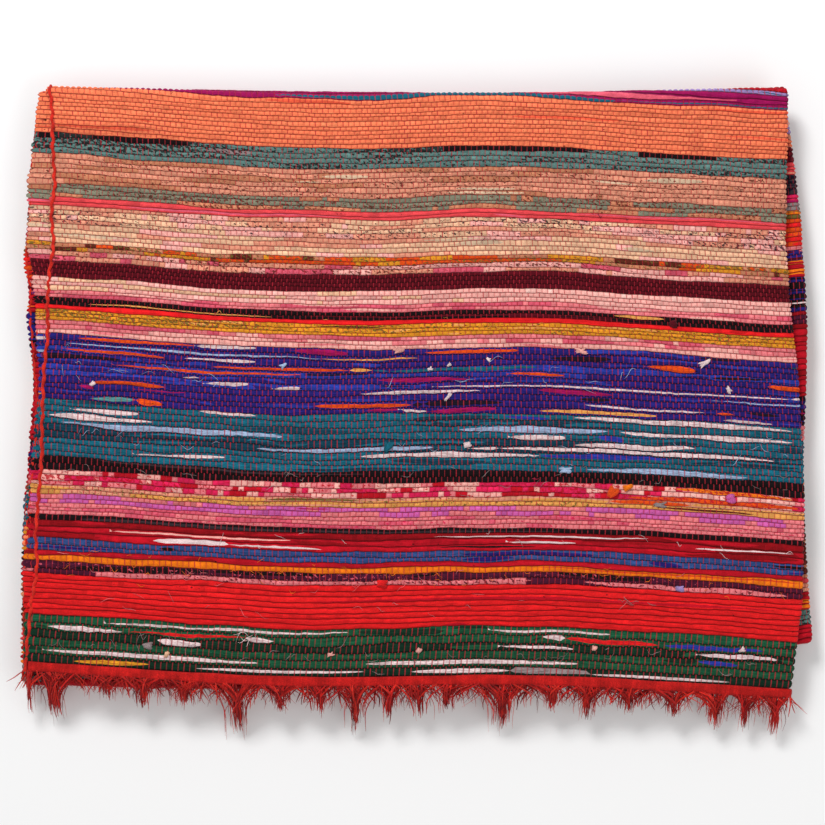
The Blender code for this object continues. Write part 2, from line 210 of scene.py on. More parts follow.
# Stripes of run 2 from the fold at the back to the fold in front, as its edges show them
SECOND_STRIPES = (
    ("magenta roll", 2, 4.6, "ribbed", 20, (("magenta", 5), ("rose", 1))),
    ("lilac", 1, 4.4, "plump", 8, (("lavender", 5), ("teal", 2))),
    ("dark crimson", 4, 5.0, "loose", 20, (("black", 6), ("crimson", 3))),
    ("deep teal", 2, 5.5, "loose", 20, (("dark teal", 6), ("teal", 1))),
    ("lavender", 5, 5.0, "plump", 8, (("lavender", 5), ("pale pink", 1), ("crimson", 1))),
    ("peach and plum", 3, 4.5, "plump", 12, (("peach", 4), ("salmon", 4), ("plum", 3))),
    ("maroon brown", 3, 5.0, "loose", 20, (("maroon", 6), ("brown", 3))),
    ("peach coral", 3, 4.5, "plump", 8, (("peach", 4), ("coral", 2))),
    ("navy charcoal", 4, 5.0, "loose", 20, (("ink", 5), ("charcoal", 4))),
    ("strong magenta", 2, 4.5, "plump", 20, (("magenta", 6), ("hot pink", 2))),
    ("orange and grey", 4, 4.0, "plump", 10, (("orange", 5), ("grey", 3), ("olive", 3))),
    ("rust", 6, 4.7, "plump", 8, (("burnt orange", 6), ("red", 2))),
    ("maroon pink", 3, 5.0, "loose", 16, (("maroon", 4), ("pink", 3), ("navy", 2))),
    ("crimson band", 4, 4.6, "ribbed", 30, (("crimson", 6), ("orange", 1))),
    ("deep navy", 6, 6.0, "loose", 20, (("navy", 6), ("black", 4), ("white", 0.6))),
    ("plum roll", 3, 4.5, "plump", 12, (("plum", 4), ("dark red", 4))),
    ("crimson roll", 13, 6.0, "ribbed", 24, (("crimson", 7), ("dark red", 2))),
    ("ink", 5, 6.0, "loose", 20, (("ink", 5), ("navy", 4), ("magenta", 2))),
    ("warm pink", 3, 4.6, "plump", 6, (("pink", 5), ("hot pink", 2))),
    ("sea", 8, 5.0, "loose", 14, (("teal", 4), ("green", 3), ("white", 1))),
    ("apricot", 5, 5.0, "plump", 8, (("salmon", 4), ("mustard", 3))),
    ("plum and ink", 4, 5.5, "loose", 24, (("plum", 6), ("ink", 4))),
    ("brown weave", 12, 5.0, "plump", 16, (("tan", 5), ("brown", 5), ("olive", 1))),
)


class Row:
    """One weft row, as its stripe has it."""

    def __init__(self, stripe, number):
        self.stripe, _, pitch, self.kind, self.run, self.palette = stripe[:6]
        self.flecks = stripe[6] if len(stripe) > 6 else ("black", 0.0)
        self.number, self.pitch = number, pitch / 1000


def rows_of(stripe):
    return [Row(stripe, number) for number in range(stripe[1])]


def weave_rows():
    """Every row of the rug from the top fringe to the under one."""
    rows = [row for stripe in TOP_STRIPES for row in rows_of(stripe)][::-1]
    rows += [row for stripe in SECOND_STRIPES for row in rows_of(stripe)]
    rng = np.random.default_rng(5)
    others = [stripe for stripe in TOP_STRIPES + SECOND_STRIPES if stripe[1] > 1]
    while sum(row.pitch for row in rows) < total_length(0.5):
        rows += rows_of(others[rng.integers(len(others))])
    return rows


# ---------------------------------------------------------------- the folded shape

def through(values, along):
    """A smooth curve through evenly spaced values, read at `along` steps from the first."""
    last = len(values) - 1
    along = np.clip(along, 0.0, last)
    first = np.minimum(along.astype(int), last - 1)
    t = along - first
    v = np.concatenate([[2 * values[0] - values[1]], values, [2 * values[-1] - values[-2]]])
    a, b, c, d = (v[first + k] for k in range(4))
    return b + t * ((c - a) + t * ((2 * a - 5 * b + 4 * c - d) + t * (3 * b - a - 3 * c + d))) / 2


def line(number, across):
    return through(LINES[number], np.asarray(across, float) * (len(LINES[number]) - 1))


def run_ends(across):
    """Where each run's flat part starts and ends, in Y, at a share of the width."""
    starts, finishes = [line(0, across)], []
    for k in range(1, 4):
        towards = 1 if k % 2 else -1
        finishes.append(line(k, across) - towards * REACH)
        starts.append(line(k, across) - towards * REACH)
    finishes.append(line(4, across))
    return starts, finishes


def total_length(across):
    starts, finishes = run_ends(across)
    return sum(abs(f - s) for s, f in zip(starts, finishes)) + 3 * math.pi * BEND


def centre_line(s, across):
    """Y, Z and the normal's Y and Z of the doubled cloth s metres from its top end, with its run."""
    starts, finishes = run_ends(across)
    first = np.abs(finishes[0] - starts[0])
    rest = (total_length(across) - first) / (total_length(0.5) - first)
    at = np.where(s > first, first + (s - first) * rest, s)
    y, z, ny, nz, run = (np.zeros_like(at) for _ in range(5))
    for k in range(4):
        towards = 1 if k % 2 == 0 else -1
        length = np.abs(finishes[k] - starts[k])
        height = TOP - k * PITCH
        on = (at >= 0) if k else np.ones(at.shape, bool)
        flat = starts[k] + towards * at
        y, z = np.where(on, flat, y), np.where(on, height, z)
        ny, nz, run = np.where(on, 0.0, ny), np.where(on, towards, nz), np.where(on, k, run)
        at = at - length
        if k == 3:
            break
        turn = np.clip(at / BEND, 0, math.pi)
        on = at > 0
        y = np.where(on, finishes[k] + towards * BEND * np.sin(turn), y)
        z = np.where(on, height - BEND + BEND * np.cos(turn), z)
        ny, nz = np.where(on, np.sin(turn), ny), np.where(on, towards * np.cos(turn), nz)
        run = np.where(on, k + turn / math.pi, run)
        at = at - math.pi * BEND
    return y, z - sag(across, y) * (run == 0), ny, nz, run


def sag(across, y):
    over = np.clip(line(2, across) - y, 0, None) / OVERHANG
    return OVERHANG_SAG * over**2


def beside(tables, run, y):
    """X of an edge beside y, blended from run to run through the folds."""
    along = (ALONG[0] - y) / (ALONG[0] - ALONG[1])
    near = [through(table, along) for table in tables]
    k = np.clip(run.astype(int), 0, 3)
    after = np.minimum(k + 1, 3)
    blend = run - k
    return (1 - blend) * np.choose(k, near) + blend * np.choose(after, near)


def settled(points):
    """Heights as the stack settles, as in the CAD."""
    x, y, z = points[..., 0], points[..., 1], points[..., 2]
    back = BACK_PUFF * np.exp(-(((y - BACK_PUFF_Y) / PUFF_WIDTH) ** 2))
    side = SIDE_PUFF * np.exp(-(((x - SIDE_PUFF_X) / PUFF_WIDTH) ** 2))
    wave = WAVE * np.cos(9.0 * x + 0.6) * np.cos(7.0 * y + 1.1)
    return np.stack([x, y, z * (1 + back + side + wave)], axis=-1)


def share_of(u):
    """How far across its half a float is: 0 at its selvedge, 1 at the side fold."""
    return np.clip(np.minimum(u, ALL_FLOATS - u) / HALF_FLOATS, 0, 1)


def place(s, u, radius, edge_noise=None):
    """Points of the cloth: s along the rug, u across it, radius out from the middle of its pair."""
    s, u, radius = np.broadcast_arrays(np.asarray(s, float), np.asarray(u, float), radius)
    across = share_of(u)
    y, z, ny, nz, run = centre_line(s, across)
    mid_y = centre_line(s, np.full_like(across, 0.5))[0]
    fold = beside(SIDE_FOLDS, run, mid_y)
    upper = beside([pair[0] for pair in SELVEDGES], run, mid_y)
    lower = beside([pair[1] for pair in SELVEDGES], run, mid_y)
    if edge_noise is not None:
        upper, lower, fold = (e + n for e, n in zip((upper, lower, fold), edge_noise))
    centre = fold - OUTER
    angle = math.pi * (0.5 - (u - HALF_FLOATS) / FOLD_FLOATS)
    on_fold = (u > HALF_FLOATS) & (u < HALF_FLOATS + FOLD_FLOATS)
    side = np.where(u <= HALF_FLOATS, 1.0, -1.0)
    left = np.where(side > 0, upper, lower)
    x = np.where(on_fold, centre + radius * np.cos(angle), left + across * (centre - left))
    offset = np.where(on_fold, radius * np.sin(angle), side * radius)
    points = np.stack([x, y + ny * offset, z + nz * offset], axis=-1)
    return settled(points) + SHIFT


def find_shift():
    """From the stack's own frame, in which the tables above are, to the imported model's."""
    s = np.linspace(0, total_length(0.5), 900)[:, None]
    u = np.array([[0.0, HALF_FLOATS + FOLD_FLOATS / 2]])
    high = place(s, u, OUTER).reshape(-1, 3).max(axis=0)
    return np.array([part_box("woven_cloth")[1][0] - high[0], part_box("woven_cloth")[1][1] - high[1], 0.0])


SHIFT = np.zeros(3)
SHIFT = find_shift()

# ---------------------------------------------------------------- the weave's rows

ROWS = weave_rows()
ROW_STARTS = np.concatenate([[0.0], np.cumsum([row.pitch for row in ROWS])])
ROW_COUNT = int(np.searchsorted(ROW_STARTS, total_length(0.5)))
ROWS = ROWS[:ROW_COUNT]
ROW_STARTS = ROW_STARTS[: ROW_COUNT + 1] * (total_length(0.5) / ROW_STARTS[ROW_COUNT])
KINDS = np.array([WEAVES[row.kind] for row in ROWS])
TOP_ROWS = sum(stripe[1] for stripe in TOP_STRIPES)


def noise_field(seed, rows, floats):
    """Smooth noise from -1 to 1 over the whole cloth, which changes over so many rows and floats."""
    rng = np.random.default_rng(seed)
    table = rng.uniform(-1, 1, (int(ROW_COUNT / rows) + 3, int(ALL_FLOATS / floats) + 3))

    def read(row, u):
        i, j = np.broadcast_arrays(np.clip(row, 0, ROW_COUNT) / rows, np.clip(u, 0, ALL_FLOATS) / floats)
        first_i, first_j = i.astype(int), j.astype(int)
        ti, tj = (t * t * (3 - 2 * t) for t in (i - first_i, j - first_j))
        near = table[first_i, first_j] * (1 - tj) + table[first_i, first_j + 1] * tj
        far = table[first_i + 1, first_j] * (1 - tj) + table[first_i + 1, first_j + 1] * tj
        return near * (1 - ti) + far * ti

    return read


drift = noise_field(21, 8, 15)          # whole stripes wander
thickness = noise_field(22, 1, 7)       # each rag is thicker and thinner
jitter = noise_field(27, 1, 1)
pucker = noise_field(23, 14, 18)        # the cloth's slow ups and downs
crumple = noise_field(28, 4, 6)
plumpness = noise_field(24, 1, 1.3)
edge_scallop = noise_field(25, 7, 400)
edge_loop = noise_field(26, 2, 400)


def along_rug(row, u):
    """Metres from the top end: where a row boundary runs, as it wanders."""
    index = np.clip(np.floor(row), 0, ROW_COUNT - 1).astype(int)
    pitch = np.diff(ROW_STARTS)[index]
    steady = np.clip(np.minimum(row, ROW_COUNT - row) / 4, 0.15, 1)
    wander = 0.0016 * drift(row, u) + pitch * (0.20 * thickness(row, u) + 0.07 * jitter(row, u))
    return np.interp(row, np.arange(ROW_COUNT + 1), ROW_STARTS) + steady * wander


def relief(row, u):
    """How far the surface lies below the cloth's envelope at a place."""
    index = np.minimum(np.floor(row + 1e-6).astype(int), ROW_COUNT - 1)
    v = np.clip(row - index, 0, 1)
    w = u + 0.5 * (index % 2)
    row_bump = np.sin(math.pi * v) ** 0.6
    float_bump = np.abs(np.sin(math.pi * w)) ** 0.6
    row_depth, float_depth, _, creases = KINDS[index].transpose(2, 0, 1)
    lumps = (0.30 + 0.25 * creases) * (1 - plumpness(row, u)) * row_bump
    return 0.001 * (row_depth * (1 - row_bump) + float_depth * (1 - float_bump) * row_bump + lumps)


def edge_distance(u):
    """Floats from the nearest selvedge."""
    return np.minimum(u, ALL_FLOATS - u)


def cloth_points(rows, us, outer=True):
    """A grid of points on one face of the cloth. Its selvedges are rounded, and looped at each row."""
    row, u = np.meshgrid(rows, us, indexing="ij")
    below = relief(row, u)
    radius = OUTER - below if outer else INNER + 0.15 * below
    middle = (OUTER + INNER) / 2
    inland = np.clip(edge_distance(u) / 0.7, 0, 1)
    radius = middle + (radius - middle) * np.sqrt(1 - (1 - inland) ** 2)
    scallop = 0.0025 * edge_scallop(row, 0)
    points = place(along_rug(row, u), u, radius, (scallop, -scallop, 0.001 * edge_scallop(row, 0)))
    v = row - np.floor(row + 1e-6)
    loop = 0.0022 + 0.0020 * np.sin(math.pi * np.clip(v, 0, 1)) ** 0.7 * (1 + 0.8 * edge_loop(row, 0))
    points[..., 0] -= loop * np.clip(1 - edge_distance(u) / 1.5, 0, 1) ** 1.5
    uneven = 0.0009 * pucker(row, u) + 0.0005 * crumple(row, u)
    points[..., 2] += uneven * np.clip(points[..., 2] / TOP, 0, 1)
    return points


def on_cloth(row, u, height):
    """Points above the cloth's outer envelope."""
    row, u, height = np.broadcast_arrays(row, u, height)
    return place(along_rug(row, u), u, OUTER + height)


def spot(stripe, number, share):
    """The row and u of a place in a named stripe of the top layer."""
    before = 0
    for name, count, *_ in TOP_STRIPES:
        if name == stripe:
            break
        before += count
    return TOP_ROWS - before - number - 0.5, share * HALF_FLOATS


# ---------------------------------------------------------------- colours of the rags

def add_slub(rags, row, start, length, colour, width, centre, slope):
    """Lays a tapered rag of another colour in a row."""
    _, streak, slub, _ = rags
    for k in range(max(start, 0), min(start + length, slub.shape[1] - 1) + 1):
        t = (k - start) / length
        slub[row, k] = width * math.sin(math.pi * min(max(t, 0), 1)) ** 0.45, centre + slope * (t - 0.5), 0
    for k in range(max(start, 0), min(start + length, streak.shape[1])):
        streak[row, k] = colour


def spin_rags():
    """For each row and float: the rag's colour, a laid-in rag's, and its flecks'."""
    rng = np.random.default_rng(8)
    cells = int(ALL_FLOATS) + 2
    weft, streak = np.zeros((ROW_COUNT, cells, 3)), np.zeros((ROW_COUNT, cells, 3))
    slub, fleck = np.zeros((ROW_COUNT, cells + 1, 3)), np.zeros((ROW_COUNT, cells, 4))
    rags = weft, streak, slub, fleck
    for row, rag in enumerate(ROWS):
        names = [name for name, _ in rag.palette]
        shares = np.array([share for _, share in rag.palette], float)
        shares /= shares.sum()
        mottled = rag.run < 7
        major = np.where(shares < 0.12, 0, shares)
        major /= major.sum()
        at = 0
        while at < cells:
            length = 1 + int(rng.exponential(rag.run if mottled else 9 * rag.run))
            name = names[rng.choice(len(names), p=major)]
            weft[row, at : at + length] = linear(COLOURS[name]) * rng.normal(1.0, 0.06)
            at += length
        weft[row] *= rng.normal(1.0, 0.06) * rng.normal(1.0, 0.07, (cells, 1))
        for name, share in zip(names, shares):
            if mottled and share >= 0.12:
                continue
            for _ in range(rng.poisson(1.3 * share * cells / (rag.run + 4))):
                length = int(rng.integers(3, 5 + 2 * rag.run))
                colour = linear(COLOURS[name]) * rng.normal(1.0, 0.08)
                width, centre = rng.uniform(0.25, 0.85), rng.uniform(-0.25, 0.25)
                start = int(rng.integers(-4, cells))
                add_slub(rags, row, start, length, colour, width, centre, rng.uniform(-0.4, 0.4))
        colour, amount = rag.flecks
        patches = np.interp(np.arange(cells), np.arange(0, cells + 30, 15), rng.uniform(0.3, 1.4, cells // 15 + 3)[: len(range(0, cells + 30, 15))])
        fleck[row, :, :3] = linear(COLOURS[colour])
        fleck[row, :, 3] = amount * patches
    for stripe, number, start, end, name, width in LAID_RAGS:
        row, first = spot(stripe, number, start)
        length = max(2, round((end - start) * HALF_FLOATS))
        centre = rng.uniform(-0.2, 0.2) * (1 - width)
        colour = linear(COLOURS[name])
        add_slub(rags, int(row), round(first), length, colour, width, centre, rng.uniform(-0.3, 0.3))
    return [np.clip(part, -1, 1) for part in rags]


WEFT, STREAK, SLUB, FLECK = spin_rags()


# ---------------------------------------------------------------- making meshes

def mesh_object(name, points, quads, material):
    mesh = bpy.data.meshes.new(name)
    mesh.vertices.add(len(points))
    mesh.vertices.foreach_set("co", np.ascontiguousarray(points, np.float32).ravel())
    mesh.loops.add(quads.size)
    mesh.loops.foreach_set("vertex_index", quads.ravel().astype(np.int32))
    mesh.polygons.add(len(quads))
    mesh.polygons.foreach_set("loop_start", np.arange(0, quads.size, 4, dtype=np.int32))
    mesh.update(calc_edges=True)
    mesh.shade_smooth()
    mesh.materials.append(material)
    piece = bpy.data.objects.new(name, mesh)
    bpy.context.scene.collection.objects.link(piece)
    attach(piece, "root")
    return piece


def grid_quads(rows, columns, flip=False, closed=False):
    """Corner numbers of a grid's faces, for a grid of rows x columns points."""
    i, j = np.meshgrid(np.arange(rows - 1), np.arange(columns - (0 if closed else 1)), indexing="ij")
    beside_j = (j + 1) % columns
    a, b = i * columns + j, i * columns + beside_j
    quads = np.stack([a, b, b + columns, a + columns], axis=-1).reshape(-1, 4)
    return quads[:, ::-1] if flip else quads


def set_uv(mesh, name, corners):
    layer = mesh.uv_layers.new(name=name)
    layer.data.foreach_set("uv", np.ascontiguousarray(corners, np.float32).ravel())


def set_values(mesh, name, kind, domain, field, values):
    layer = mesh.attributes.new(name, kind, domain)
    layer.data.foreach_set(field, np.ascontiguousarray(values, np.float32).ravel())


def cut_rows(first, last, cuts=None):
    """Row coordinates of the grid lines from one row to another."""
    found = []
    for row in range(first, last):
        count = cuts or max(3, round(ROWS[row].pitch / 0.00145))
        found += [row + k / count for k in range(count)]
    return np.array(found + [float(last)])


def dress_faces(mesh, faces):
    """Gives a cloth mesh its rag colours and its weave map. faces: row and u at each face's corners."""
    row, u = faces[..., 0], faces[..., 1]
    index = np.clip(np.floor(row.mean(axis=1)).astype(int), 0, ROW_COUNT - 1)
    shifted = u + 0.5 * (index % 2)[:, None]
    cell = np.clip(np.floor(shifted.mean(axis=1)).astype(int), 0, WEFT.shape[1] - 1)
    ones = np.ones((len(index), 1))
    set_values(mesh, "weft", "FLOAT_COLOR", "FACE", "color", np.hstack([WEFT[index, cell], ones]))
    set_values(mesh, "streak", "FLOAT_COLOR", "FACE", "color", np.hstack([STREAK[index, cell], ones]))
    set_values(mesh, "fleck", "FLOAT_COLOR", "FACE", "color", FLECK[index, cell])
    set_values(mesh, "kind", "FLOAT_VECTOR", "FACE", "vector", KINDS[index][:, [0, 2, 3]])
    first = np.clip(np.floor(u).astype(int), 0, SLUB.shape[1] - 2)
    t = (u - first)[..., None]
    near, far = SLUB[index[:, None], first], SLUB[index[:, None], first + 1]
    set_values(mesh, "slub", "FLOAT_VECTOR", "CORNER", "vector", near * (1 - t) + far * t)
    set_uv(mesh, "weave", np.stack([shifted, row], axis=-1))


def cloth_patch(name, rows, us):
    """A fine open sheet over part of the cloth's outer face."""
    points = cloth_points(rows, us)
    quads = grid_quads(len(rows), len(us))
    piece = mesh_object(name, points.reshape(-1, 3), quads, RAGS)
    row, u = np.meshgrid(rows, us, indexing="ij")
    at = np.stack([row.ravel(), u.ravel()], axis=-1)
    dress_faces(piece.data, at[quads])
    span = np.array([rows[-1] - rows[0], us[-1] - us[0]])
    bake = (at - [rows[0], us[0]]) / span
    set_uv(piece.data, "OFBake", bake[quads][..., ::-1])
    return piece


def rest_of_cloth(name, rows, us, covered):
    """Both faces of the whole cloth, more plainly, without the parts of the outer face that are covered."""
    row, u = np.meshgrid(rows, us, indexing="ij")
    middle_row, middle_u = (rows[1:] + rows[:-1]) / 2, (us[1:] + us[:-1]) / 2
    kept = np.ones((len(rows) - 1, len(us) - 1), bool)
    for first, last, low, high in covered:
        inside = ((middle_row > first) & (middle_row < last))[:, None] & ((middle_u > low) & (middle_u < high))
        kept &= ~inside
    outer, inner = cloth_points(rows, us), cloth_points(rows, us, outer=False)
    points = np.concatenate([outer.reshape(-1, 3), inner.reshape(-1, 3)])
    quads = grid_quads(len(rows), len(us))[kept.ravel()]
    inner_quads = grid_quads(len(rows), len(us), flip=True)
    at = np.stack([row.ravel(), u.ravel()], axis=-1)
    at_faces = np.concatenate([at[quads], at[inner_quads]])
    column = np.searchsorted(us, u.ravel()) / (len(us) - 1)
    strip = row.ravel() / ROW_COUNT * 8
    bake = np.stack([column, strip], axis=-1)
    bake_faces = np.concatenate([bake[quads], bake[inner_quads]])
    lane = np.floor(bake_faces[..., 1].mean(axis=1))
    up = 0.01 + 0.98 * (bake_faces[..., 1] - lane[:, None])
    lane[len(quads):] += 8
    across = (lane[:, None] + 0.04 + 0.92 * bake_faces[..., 0]) / 16
    quads = np.concatenate([quads, inner_quads + outer.size // 3])
    used, renumbered = np.unique(quads, return_inverse=True)
    piece = mesh_object(name, points[used], renumbered.reshape(-1, 4), RAGS)
    dress_faces(piece.data, at_faces)
    set_uv(piece.data, "OFBake", np.stack([across, up], axis=-1))
    return piece


def tubes(name, paths, radii, colours, material, sides=4):
    """Many strands in one mesh. paths: strands x rings x 3; radii: strands x rings; a colour each."""
    paths, radii = np.asarray(paths, float), np.asarray(radii, float)
    count, rings = radii.shape
    along = np.gradient(paths, axis=1)
    along /= np.linalg.norm(along, axis=-1, keepdims=True) + 1e-12
    side = np.cross(along, np.array([0.21, 0.13, 1.0]))
    side /= np.linalg.norm(side, axis=-1, keepdims=True) + 1e-12
    over = np.cross(side, along)
    angle = 2 * math.pi * np.arange(sides) / sides
    ring = np.cos(angle)[:, None] * side[:, :, None] + np.sin(angle)[:, None] * over[:, :, None]
    points = paths[:, :, None] + radii[..., None, None] * ring
    one = grid_quads(rings, sides, flip=True, closed=True)
    if sides == 4:
        last = (rings - 1) * sides
        one = np.concatenate([one, [[0, 1, 2, 3], [last + 3, last + 2, last + 1, last]]])
    quads = (one[None] + (np.arange(count) * rings * sides)[:, None, None]).reshape(-1, 4)
    piece = mesh_object(name, points.reshape(-1, 3), quads, material)
    colour = np.repeat(np.c_[np.clip(colours, 0, 1), np.ones(count)], len(one), axis=0)
    set_values(piece.data, "strand", "FLOAT_COLOR", "FACE", "color", colour)
    columns = math.ceil(math.sqrt(count))
    cell = np.stack([np.arange(count) % columns, np.arange(count) // columns], axis=-1)
    corner = np.stack(np.meshgrid(np.linspace(0.1, 0.9, sides), np.linspace(0.1, 0.9, rings)), axis=-1)
    corner = corner.reshape(-1, 2)[one]
    set_uv(piece.data, "OFBake", (cell[:, None, None] + corner[None]) / columns)
    return piece


# ---------------------------------------------------------------- materials

class Graph:
    """A short way to write a material's nodes."""

    def __init__(self, name, roughness, sheen):
        self.material = bpy.data.materials.new(name)
        self.material.use_nodes = True
        self.tree = self.material.node_tree
        self.shader = self.tree.nodes["Principled BSDF"]
        self.shader.inputs["Roughness"].default_value = roughness
        self.shader.inputs["Specular IOR Level"].default_value = 0.12
        self.shader.inputs["Sheen Weight"].default_value = sheen
        self.shader.inputs["Sheen Roughness"].default_value = 0.5

    def node(self, kind, *inputs, **settings):
        node = self.tree.nodes.new(kind)
        for name, value in settings.items():
            setattr(node, name, value)
        for socket, value in zip(node.inputs, inputs):
            self.feed(socket, value)
        return node

    def feed(self, socket, value):
        if isinstance(value, bpy.types.NodeSocket):
            self.tree.links.new(value, socket)
        elif value is not None:
            socket.default_value = value

    def math(self, operation, *inputs):
        return self.node("ShaderNodeMath", *inputs, operation=operation).outputs[0]

    def attribute(self, name):
        return self.node("ShaderNodeAttribute", attribute_name=name)

    def parts(self, vector):
        return self.node("ShaderNodeSeparateXYZ", vector).outputs

    def ramp(self, value, low, high, start=0.0, end=1.0):
        """start below low, end above high, and smooth between."""
        return self.node("ShaderNodeMapRange", value, low, high, start, end, interpolation_type="SMOOTHSTEP").outputs[0]

    def mix(self, share, first, second, blend="MIX"):
        node = self.tree.nodes.new("ShaderNodeMix")
        node.data_type, node.blend_type = "RGBA", blend
        self.feed(node.inputs[0], share)
        self.feed(node.inputs[6], first)
        self.feed(node.inputs[7], second)
        return node.outputs[2]

    def scaled(self, vector, scale):
        return self.node("ShaderNodeVectorMath", vector, scale, operation="MULTIPLY").outputs[0]

    def noise(self, vector, scale, detail=2.0, rough=0.5):
        node = self.node("ShaderNodeTexNoise")
        for name, value in (("Vector", vector), ("Scale", scale), ("Detail", detail), ("Roughness", rough)):
            self.feed(node.inputs[name], value)
        return node.outputs["Fac"]

    def finish(self, colour, height, distance):
        self.feed(self.shader.inputs["Base Color"], colour)
        bump = self.tree.nodes.new("ShaderNodeBump")
        bump.inputs["Strength"].default_value = 0.8
        bump.inputs["Distance"].default_value = distance
        self.feed(bump.inputs["Height"], height)
        self.feed(self.shader.inputs["Normal"], bump.outputs[0])
        return self.material


WARP_RED = (0.42, 0.020, 0.035, 1.0)
# Painted shade: the dark colour that is multiplied into the rag colour in the gaps between rows.
ROW_GAP_PAINTED_SHADE = (0.13, 0.035, 0.045, 1.0)


def from_middle(g, value):
    """0 in the middle of each whole step of value, 1 at its ends."""
    return g.math("MULTIPLY", g.math("ABSOLUTE", g.math("SUBTRACT", g.math("FRACT", value), 0.5)), 2.0)


def rag_weave():
    """Cotton rags across red warps: rags with creases and painted shade and highlight along them, laid-in rags and
    flecks, red ticks, and painted shade in the gaps between rows.
    """
    g = Graph("rag_weave", 0.95, 0.04)
    weave = g.node("ShaderNodeUVMap", uv_map="weave").outputs[0]
    place_u, place_v = g.parts(weave)[:2]
    from_float, from_row = from_middle(g, place_u), from_middle(g, place_v)
    tick_strength, creases = (g.parts(g.attribute("kind").outputs["Vector"])[k] for k in (1, 2))
    where = g.node("ShaderNodeTexCoord").outputs["Object"]
    fuzz = g.noise(where, 950.0, 3.0, 0.6)
    threads = g.noise(g.scaled(weave, (0.55, 6.0, 1.0)), 1.0, 3.0, 0.7)
    blotches = g.noise(g.scaled(weave, (0.35, 0.9, 1.0)), 1.0, 2.0, 0.6)
    colour = g.attribute("weft").outputs["Color"]

    slub_width, slub_centre = g.parts(g.attribute("slub").outputs["Vector"])[:2]
    off_centre = g.math("SUBTRACT", g.math("SUBTRACT", g.math("FRACT", place_v), 0.5), slub_centre)
    ragged = g.math("MULTIPLY", g.math("SUBTRACT", threads, 0.5), 0.35)
    half_width = g.math("MULTIPLY", slub_width, g.math("ADD", 0.5, ragged))
    on_slub = g.math("LESS_THAN", g.math("ABSOLUTE", off_centre), half_width)
    colour = g.mix(on_slub, colour, g.attribute("streak").outputs["Color"])

    lean = g.math("ADD", place_u, g.math("MULTIPLY", place_v, 0.55))
    slanted = g.node("ShaderNodeCombineXYZ", g.math("MULTIPLY", lean, 1.5), g.math("MULTIPLY", place_v, 2.1), 0.0).outputs[0]
    print_noise = g.noise(slanted, 1.0, 2.0, 0.55)
    fleck = g.attribute("fleck")
    on_fleck = g.ramp(g.math("ADD", print_noise, g.math("MULTIPLY", fleck.outputs["Alpha"], 0.55)), 0.70, 0.74)
    colour = g.mix(g.math("MULTIPLY", on_fleck, 0.9), colour, fleck.outputs["Color"])

    # Streaks along the rags: partly the rags' own fibre streaks, partly painted shade and painted highlight along their
    # creases, stronger in rags that crease more.
    shade = g.ramp(threads, 0.25, 0.75, 0.55, 1.35)
    streak_and_crease_shade = g.math("ADD", 1.0, g.math("MULTIPLY", g.math("SUBTRACT", shade, 1.0), creases))
    colour = g.mix(1.0, colour, streak_and_crease_shade, "MULTIPLY")
    colour = g.mix(1.0, colour, g.ramp(fuzz, 0.3, 0.7, 0.82, 1.12), "MULTIPLY")
    colour = g.mix(1.0, colour, g.ramp(blotches, 0.3, 0.7, 0.84, 1.12), "MULTIPLY")

    uneven = g.math("ADD", g.math("MULTIPLY", g.math("SUBTRACT", fuzz, 0.5), 0.30),
                    g.math("MULTIPLY", g.math("SUBTRACT", blotches, 0.5), 0.25))
    # Painted shade in the gaps between rows: the rag colour is darkened there. The same mask also dips the bump.
    gap = g.ramp(g.math("ADD", from_row, uneven), 0.66, 1.0)
    colour = g.mix(g.math("MULTIPLY", gap, 0.88), colour, ROW_GAP_PAINTED_SHADE, "MULTIPLY")
    warp_number = g.math("MULTIPLY", g.math("FLOOR", g.math("ADD", place_u, 0.5)), 7.31)
    each_warp = g.node("ShaderNodeCombineXYZ", warp_number, g.math("MULTIPLY", place_v, 0.11), 0.0).outputs[0]
    warp_shows = g.ramp(g.noise(each_warp, 1.0, 0.0), 0.3, 0.7, 0.55, 1.25)
    tick = g.ramp(g.math("ADD", from_float, uneven), 0.76, 0.96)
    tick = g.math("MULTIPLY", tick, g.math("MULTIPLY", tick_strength, warp_shows))
    colour = g.mix(g.math("MINIMUM", tick, 0.95), colour, WARP_RED)

    dip = g.math("MAXIMUM", gap, g.math("MULTIPLY", g.ramp(from_float, 0.6, 1.0), tick_strength))
    height = g.math("ADD", g.math("MULTIPLY", threads, g.math("ADD", 0.25, creases)), g.math("MULTIPLY", fuzz, 0.5))
    return g.finish(colour, g.math("SUBTRACT", height, g.math("MULTIPLY", dip, 0.9)), 0.0007)


def red_yarn(name):
    """Loosely spun cotton, in plies."""
    g = Graph(name, 0.9, 0.08)
    where = g.node("ShaderNodeTexCoord").outputs["Object"]
    fuzz = g.noise(where, 1300.0, 3.0, 0.6)
    patches = g.noise(where, 90.0, 2.0, 0.5)
    colour = g.mix(1.0, g.attribute("strand").outputs["Color"], g.ramp(fuzz, 0.3, 0.7, 0.6, 1.25), "MULTIPLY")
    colour = g.mix(1.0, colour, g.ramp(patches, 0.3, 0.7, 0.75, 1.15), "MULTIPLY")
    return g.finish(colour, fuzz, 0.0004)


def plain_floor():
    g = Graph("floor", 0.9, 0.0)
    where = g.node("ShaderNodeTexCoord").outputs["Object"]
    return g.finish((0.92, 0.92, 0.92, 1.0), g.noise(where, 20.0), 0.0001)


RAGS, YARN, RAG_ENDS = rag_weave(), red_yarn("red_warp_yarn"), red_yarn("rag_ends")
YARN_RED, YARN_DARK, YARN_BRIGHT = (linear(c) for c in ((0.76, 0.11, 0.10), (0.52, 0.04, 0.05), (0.86, 0.17, 0.12)))


# ---------------------------------------------------------------- the cloth

def rows_at(s):
    return int(np.searchsorted(ROW_STARTS, s))


def column_lines(low, high, step):
    return np.linspace(low, high, round((high - low) / step) + 1)


SELVEDGE_COLUMNS = np.array([0.0, 0.05, 0.18, 0.4, 0.7])


